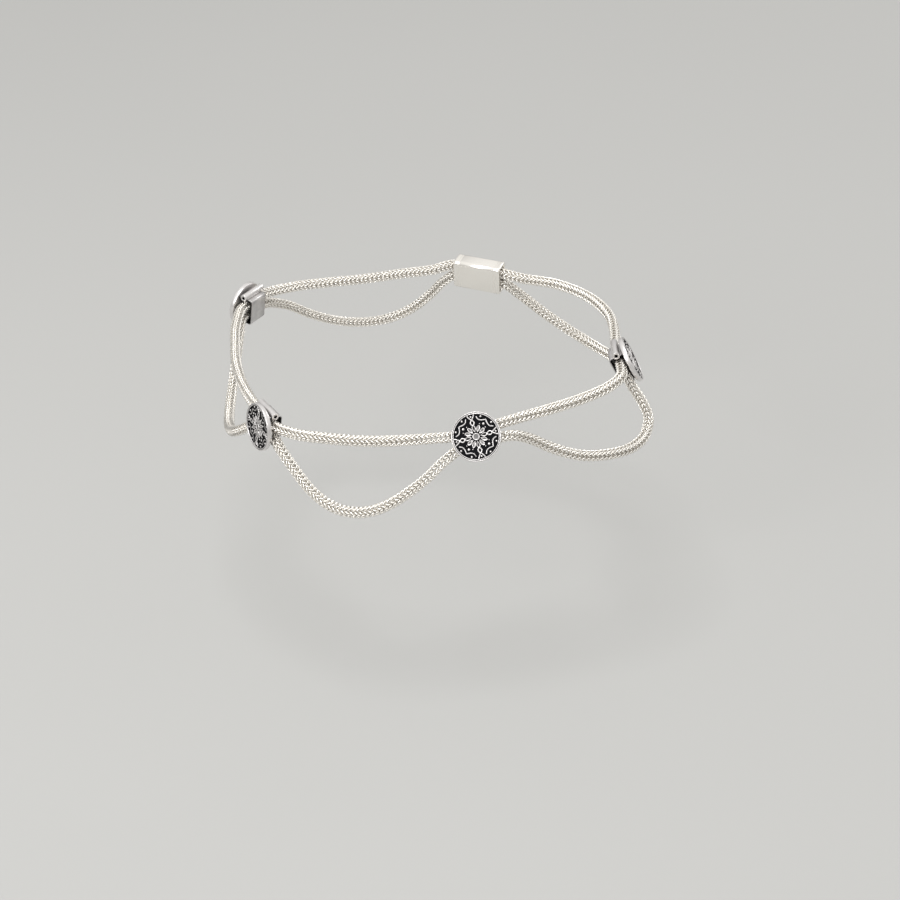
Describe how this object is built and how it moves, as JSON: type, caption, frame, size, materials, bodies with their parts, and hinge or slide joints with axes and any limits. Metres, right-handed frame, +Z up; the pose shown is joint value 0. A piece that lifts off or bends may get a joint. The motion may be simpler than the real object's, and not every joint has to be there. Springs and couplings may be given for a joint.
{
  "type": "anklet",
  "caption": "Silver anklet with a straight and a swagged strand of foxtail chain, held behind round oxidised rosettes and closed by a plain bar clasp.",
  "frame": {"origin": "middle of the ankle opening, at the height where the upper strand passes the front", "axes": "+Z up the axis of the loop, -Y the front of the loop, +X to its right seen from the front"},
  "size_m": [0.0928, 0.0806, 0.0266],
  "materials": {
    "bright_silver": "bright drawn silver wire, worn soft",
    "oxidised_silver": "oxidised recesses with rubbed bright relief",
    "polished_silver": "polished"
  },
  "bodies": {
    "root": {"chain_upper": "bright_silver", "chain_lower": "bright_silver", "rosette_left": "oxidised_silver", "rosette_centre": "oxidised_silver", "rosette_right": "oxidised_silver", "rosette_back": "oxidised_silver", "clasp": "polished_silver"}
  },
  "joints": []
}
